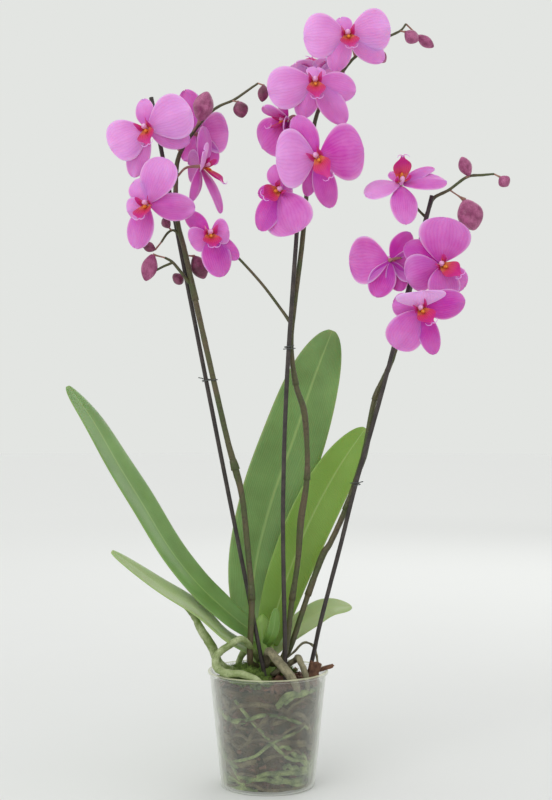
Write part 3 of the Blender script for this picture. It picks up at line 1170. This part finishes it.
# how deep each flower is coloured, 0 to 1, and the petals that differ from the rest of theirs
flowerTones = {
    "flower_left_1": 0.12, "flower_left_2": 0.40, "flower_left_3": 0.35,
    "flower_left_4": 0.28, "flower_left_5": 0.45, "flower_centre_1": 0.10,
    "flower_centre_2": 0.15, "flower_centre_3": 0.18, "flower_centre_4": 0.60,
    "flower_centre_5": 0.42, "flower_centre_6": 0.52, "flower_right_1": 0.30,
    "flower_right_2": 0.52, "flower_right_3": 0.55, "flower_right_4": 0.50,
}
tepalTones = {("flower_right_4", 0): -0.75, ("flower_centre_5", 1): 0.22, ("flower_centre_5", 2): 0.62,
              ("flower_right_1", 1): 0.18, ("flower_left_3", 3): 0.6}


def petalRows(middle, face, tepal, phase):
    reach = Vector(tepal[:3])
    length = reach.length
    along = reach.normalized()
    normal = (face - along * face.dot(along)).normalized()
    across = along.cross(normal)
    broad = tepal[3] / length > flowerMake["broadFrom"]
    widest = flowerMake["petalWidest" if broad else "sepalWidest"]
    half = tepal[3] / 2
    rows = []
    for row in range(flowerMake["rows"] + 1):
        t = math.sin(math.pi / 2 * row / flowerMake["rows"])
        if t < widest:
            swell = math.sin(math.pi / 2 * t / widest) ** 0.9
            width = flowerMake["claw"] + (half - flowerMake["claw"]) * swell
        else:
            beyond = (t - widest) / (1.002 - widest)
            width = half * math.sqrt(max(1.0 - beyond ** (2.5 if broad else 2.0), 0.0))
        lift = flowerMake["arch"] * length * 4 * t * (1 - t)
        line = []
        for column in range(flowerMake["columns"] + 1):
            s = 2.0 * column / flowerMake["columns"] - 1.0
            ripple = flowerMake["ripple"] * math.sin(4.0 * s + phase + 5.0 * t) * t
            sag = -flowerMake["droop"] * width * s * s + 0.05 * width * math.exp(-30 * s * s)
            start = middle + along * 0.002
            line.append(start + along * (length - 0.002) * t + across * s * width
                        + normal * (lift + sag + ripple))
        rows.append(line)
    return rows


def makeLip(name, middle, face, lip):
    reach = lip * flowerMake["lipLength"]
    down = (lip - face * lip.dot(face)).normalized()
    side = face.cross(down).normalized()
    shape = bmesh.new()
    root = middle + face * 0.002
    rows = []
    for row in range(11):
        t = row / 10
        swell = 0.45 + 1.1 * math.sin(math.pi * min(t * 1.15, 1.0)) ** 1.5
        width = flowerMake["lipWidth"] * swell * (1 - 0.55 * t)
        spot = root + reach * t + face * 0.004 * math.sin(math.pi * t) + face * 0.003 * t * t
        rows.append([spot + side * s * width + down * 0.35 * width * (1 - s * s)
                     + face * 0.25 * width * s * s for s in (-1, -0.66, -0.33, 0, 0.33, 0.66, 1)])
    addBlade(shape, rows)
    for hand in (-1, 1):
        out = (face * 0.75 + side * hand * 0.62 - down * 0.35).normalized()
        broad = (down * 0.55 - face * 0.45).normalized()
        cup = out.cross(broad).normalized() * hand
        rows = []
        for row in range(8):
            t = row / 7
            width = flowerMake["earWidth"] * math.sin(math.pi * (0.12 + 0.80 * t)) ** 0.7
            spot = (root + side * hand * 0.0015 + out * flowerMake["earLength"] * t
                    - side * hand * 0.004 * t * t)
            rows.append([spot + broad * s * width + cup * 0.3 * width * s * s
                         for s in (-1, -0.5, 0, 0.5, 1)])
        addBlade(shape, rows)
    lipPiece = meshPiece(name + "Lip", shape, lipSkin)
    thicken(lipPiece, 0.0006)
    finishPiece(lipPiece, [name])
    # the two whiskers at the lip's tip, the callus in its throat and the column over it
    shape = bmesh.new()
    end = root + reach + face * 0.003
    for hand in (-1, 1):
        whisker = [(*(end - reach * 0.06), 0.0007), (*(end + side * hand * 0.0022 + face * 0.001), 0.0005),
                   (*(end + side * hand * 0.0052 - down * 0.0010 + face * 0.0005), 0.0003),
                   (*(end + side * hand * 0.0062 - down * 0.0034), 0.0002)]
        addTube(shape, smoothRoute(whisker, 3), 6)
    finishPiece(meshPiece(name + "Whiskers", shape, petalSkin), [name])
    shape = bmesh.new()
    callus = [(*(root + reach * 0.10), 0.0012), (*(root + reach * 0.14 + face * 0.0030), 0.0018),
              (*(root + reach * 0.18 + face * 0.0052), 0.0011)]
    addTube(shape, smoothRoute(callus, 4), 10)
    finishPiece(meshPiece(name + "Callus", shape, skins["callusSkin"]), [name])
    shape = bmesh.new()
    tip = middle + face * flowerMake["columnLength"] - down * 0.0022
    column = [(*(middle - face * 0.001), 0.0020), (*(middle + face * 0.003 - down * 0.0012), 0.0022),
              (*(tip - face * 0.002), 0.0027), (*tip, 0.0024),
              (*(tip + face * 0.0014 + down * 0.0006), 0.0010)]
    addTube(shape, smoothRoute(column, 4), 12)
    finishPiece(meshPiece(name + "Column", shape, skins["columnSkin"]), [name])


def makeFlower(name, flower):
    middle = Vector(flower["middle"])
    face = Vector(flower["face"]).normalized()
    tone = flowerTones[name]
    shape = bmesh.new()
    for index, tepal in enumerate(flower["tepals"]):
        narrow = tepal[3] / Vector(tepal[:3]).length < flowerMake["broadFrom"]
        behind = middle - face * (flowerMake["sepalBehind"] if narrow else 0.0)
        own = tepalTones.get((name, index), tone + (flowerMake["sepalDeeper"] if narrow else 0.0))
        addBlade(shape, petalRows(behind, face, tepal, 1.7 * index), tone=min(own, 1.0))
    petals = meshPiece(name + "Petals", shape, petalSkin)
    thicken(petals, flowerMake["thickness"])
    finishPiece(petals, [name])
    makeLip(name, middle, face, Vector(flower["lip"]))
    start = Vector(nearestOn(spikeLines[flower["spike"]], flower["joint"])[:3])
    back = middle - face * flowerMake["stalkBehind"]
    swing = start.lerp(back, 0.5) + Vector(flower.get("bend", (0.0, 0.0, 0.004)))
    places = (start, swing, back, middle - face * 0.0005)
    stalk = [(*place, radius) for place, radius in zip(places, flowerMake["stalkRadii"])]
    shape = bmesh.new()
    addTube(shape, smoothRoute(stalk, 8), 10, ridges=3, ridgeDepth=flowerMake["stalkRidge"])
    finishPiece(meshPiece(name + "Stalk", shape, skins["stalkSkin"]), [name])


for name, flower in flowers.items():
    makeFlower(name, flower)
print("flowers made")


# buds: base of the stalk, neck and tip of the bud, and the bud's radius
buds = {
    "bud_left_big": (
        "spike_left", (-0.074, -0.001, 0.651), (-0.068, -0.007, 0.662), (-0.060, -0.010, 0.690), 0.0100),
    "bud_left_mid": (
        "spike_left", (-0.036, 0.008, 0.685), (-0.030, 0.000, 0.682), (-0.025, -0.004, 0.666), 0.0075),
    "bud_left_tip": (
        "spike_left", (-0.010, 0.006, 0.702), (-0.004, 0.002, 0.699), (-0.006, -0.002, 0.682), 0.0055),
    "bud_left_dark_1": (
        "spike_left", (-0.096, -0.006, 0.553), (-0.098, -0.009, 0.555), (-0.104, -0.013, 0.564), 0.0046),
    "bud_left_dark_2": (
        "spike_left", (-0.106, -0.008, 0.541), (-0.112, -0.011, 0.533), (-0.124, -0.014, 0.538), 0.0050),
    "bud_left_hanging": (
        "spike_left", (-0.102, -0.013, 0.525), (-0.114, -0.014, 0.528), (-0.121, -0.016, 0.502), 0.0078),
    "bud_left_dark_3": (
        "spike_left", (-0.080, -0.007, 0.506), (-0.086, 0.004, 0.509), (-0.094, 0.008, 0.502), 0.0066),
    "bud_left_dark_4": (
        "spike_left", (-0.082, -0.006, 0.528), (-0.074, 0.002, 0.528), (-0.064, 0.006, 0.506), 0.0085),
    "bud_centre_low": (
        "spike_centre", (0.098, 0.000, 0.736), (0.108, 0.006, 0.734), (0.118, 0.009, 0.724), 0.0060),
    "bud_centre_mid": (
        "spike_centre", (0.132, 0.000, 0.753), (0.137, -0.004, 0.751), (0.149, -0.007, 0.741), 0.0068),
    "bud_centre_tip": (
        "spike_centre", (0.138, 0.000, 0.760), (0.150, 0.002, 0.749), (0.166, 0.004, 0.738), 0.0055),
    "bud_right_big": (
        "spike_right", (0.181, -0.002, 0.594), (0.196, -0.006, 0.583), (0.205, -0.010, 0.553), 0.0128),
    "bud_right_top": (
        "spike_right", (0.196, 0.000, 0.606), (0.201, -0.003, 0.608), (0.193, -0.006, 0.626), 0.0066),
    "bud_right_tip": (
        "spike_right", (0.226, 0.000, 0.610), (0.232, 0.000, 0.607), (0.240, 0.000, 0.598), 0.0064),
}
budProfile = ((0.0, 0.20), (0.12, 0.55), (0.35, 0.93), (0.55, 1.0), (0.75, 0.82), (0.92, 0.45), (1.0, 0.16))
budMake = dict(stalkRadius=0.0009, neckShare=0.2, sides=30, ridges=3, ridgeDepth=0.07)
darkBuds = ("bud_left_dark_1", "bud_left_dark_2", "bud_left_dark_3", "bud_left_dark_4", "bud_left_mid",
            "bud_left_tip")

for name, (spike, base, neck, tip, radius) in buds.items():
    base = Vector(nearestOn(spikeLines[spike], base)[:3])
    neck, tip = Vector(neck), Vector(tip)
    stalk = smoothRoute([(*base, budMake["stalkRadius"]), (*base.lerp(neck, 0.6), budMake["stalkRadius"]),
                         (*neck, radius * budMake["neckShare"])], 6)
    body = smoothRoute([(*neck.lerp(tip, along), radius * wide) for along, wide in budProfile], 5)
    shape = bmesh.new()
    addTube(shape, stalk, 10)
    finishPiece(meshPiece(name + "Stalk", shape, skins["stalkSkin"]), [name])
    shape = bmesh.new()
    addTube(shape, body, budMake["sides"], budMake["ridges"], budMake["ridgeDepth"])
    skin = skins["darkBudSkin" if name in darkBuds else "budSkin"]
    finishPiece(meshPiece(name + "Body", shape, skin), [name])
print("buds made")


# floor, light and camera
studio = dict(floorColour=linear(226, 228, 225), floorCloud=linear(229, 231, 229),
              farColour=linear(246, 248, 245), background=linear(227, 229, 226), fill=0.82, keyPower=13.0,
              keySize=1.6, keyPlace=(-1.0, -1.6, 1.9), backShare=0.6, backPlace=(0.8, 1.8, 1.6),
              aim=(0.0, 0.0, 0.45), floorRadius=9.0, fadeFrom=0.3, fadeOver=3.2,
              cameraDistance=1.45, cameraHeight=0.384, cameraSide=0.008, frameHeight=0.8)

shape = bmesh.new()
bmesh.ops.create_circle(shape, cap_ends=True, segments=96, radius=studio["floorRadius"])
material, tree, shader = newMaterial("paleFloor", 0.9)
cloud = mottled(tree, 3.0, 40.0)
place = tree.nodes.new("ShaderNodeTexCoord")
away = tree.nodes.new("ShaderNodeVectorMath")
away.operation = "LENGTH"
tree.links.new(place.outputs["Object"], away.inputs[0])
# the far floor is paler, so that it meets the backdrop without a line
beyond = mathNode(tree, "SUBTRACT", away.outputs["Value"], studio["fadeFrom"])
far = mathNode(tree, "DIVIDE", beyond, studio["fadeOver"], clamp=True)
near = mixColour(tree, cloud.outputs["Blotches"], studio["floorColour"], studio["floorCloud"])
tree.links.new(mixColour(tree, far, near, studio["farColour"]), shader.inputs["Base Color"])
floor = meshPiece("studioFloor", shape, material)
if floor.data.polygons[0].normal.z < 0:
    floor.data.flip_normals()

world = bpy.data.worlds.new("studio")
bpy.context.scene.world = world
world.use_nodes = True
nodes = world.node_tree.nodes
links = world.node_tree.links
backdrop = nodes["Background"]
backdrop.inputs["Color"].default_value = (*studio["background"], 1.0)
soft = nodes.new("ShaderNodeBackground")
soft.inputs["Color"].default_value = (1.0, 1.0, 1.0, 1.0)
soft.inputs["Strength"].default_value = studio["fill"]
rays = nodes.new("ShaderNodeLightPath")
choose = nodes.new("ShaderNodeMixShader")
links.new(rays.outputs["Is Camera Ray"], choose.inputs[0])
links.new(soft.outputs[0], choose.inputs[1])
links.new(backdrop.outputs[0], choose.inputs[2])
links.new(choose.outputs[0], nodes["World Output"].inputs["Surface"])


def addLight(name, place, power):
    light = bpy.data.lights.new(name, "AREA")
    light.energy = power
    light.size = studio["keySize"]
    lamp = bpy.data.objects.new(name, light)
    lamp.location = place
    lamp.rotation_euler = (Vector(studio["aim"]) - Vector(place)).to_track_quat("-Z", "Y").to_euler()
    bpy.context.scene.collection.objects.link(lamp)


addLight("keyLight", studio["keyPlace"], studio["keyPower"])
addLight("backLight", studio["backPlace"], studio["keyPower"] * studio["backShare"])

lens = bpy.data.cameras.new("camera")
lens.sensor_fit = "VERTICAL"
lens.angle = 2 * math.atan(studio["frameHeight"] / 2 / studio["cameraDistance"])
camera = bpy.data.objects.new("camera", lens)
camera.location = (studio["cameraSide"], -studio["cameraDistance"], studio["cameraHeight"])
camera.rotation_euler = (math.pi / 2, 0.0, 0.0)
bpy.context.scene.collection.objects.link(camera)
bpy.context.scene.camera = camera
bpy.context.scene.view_settings.view_transform = "Standard"
print("studio made")
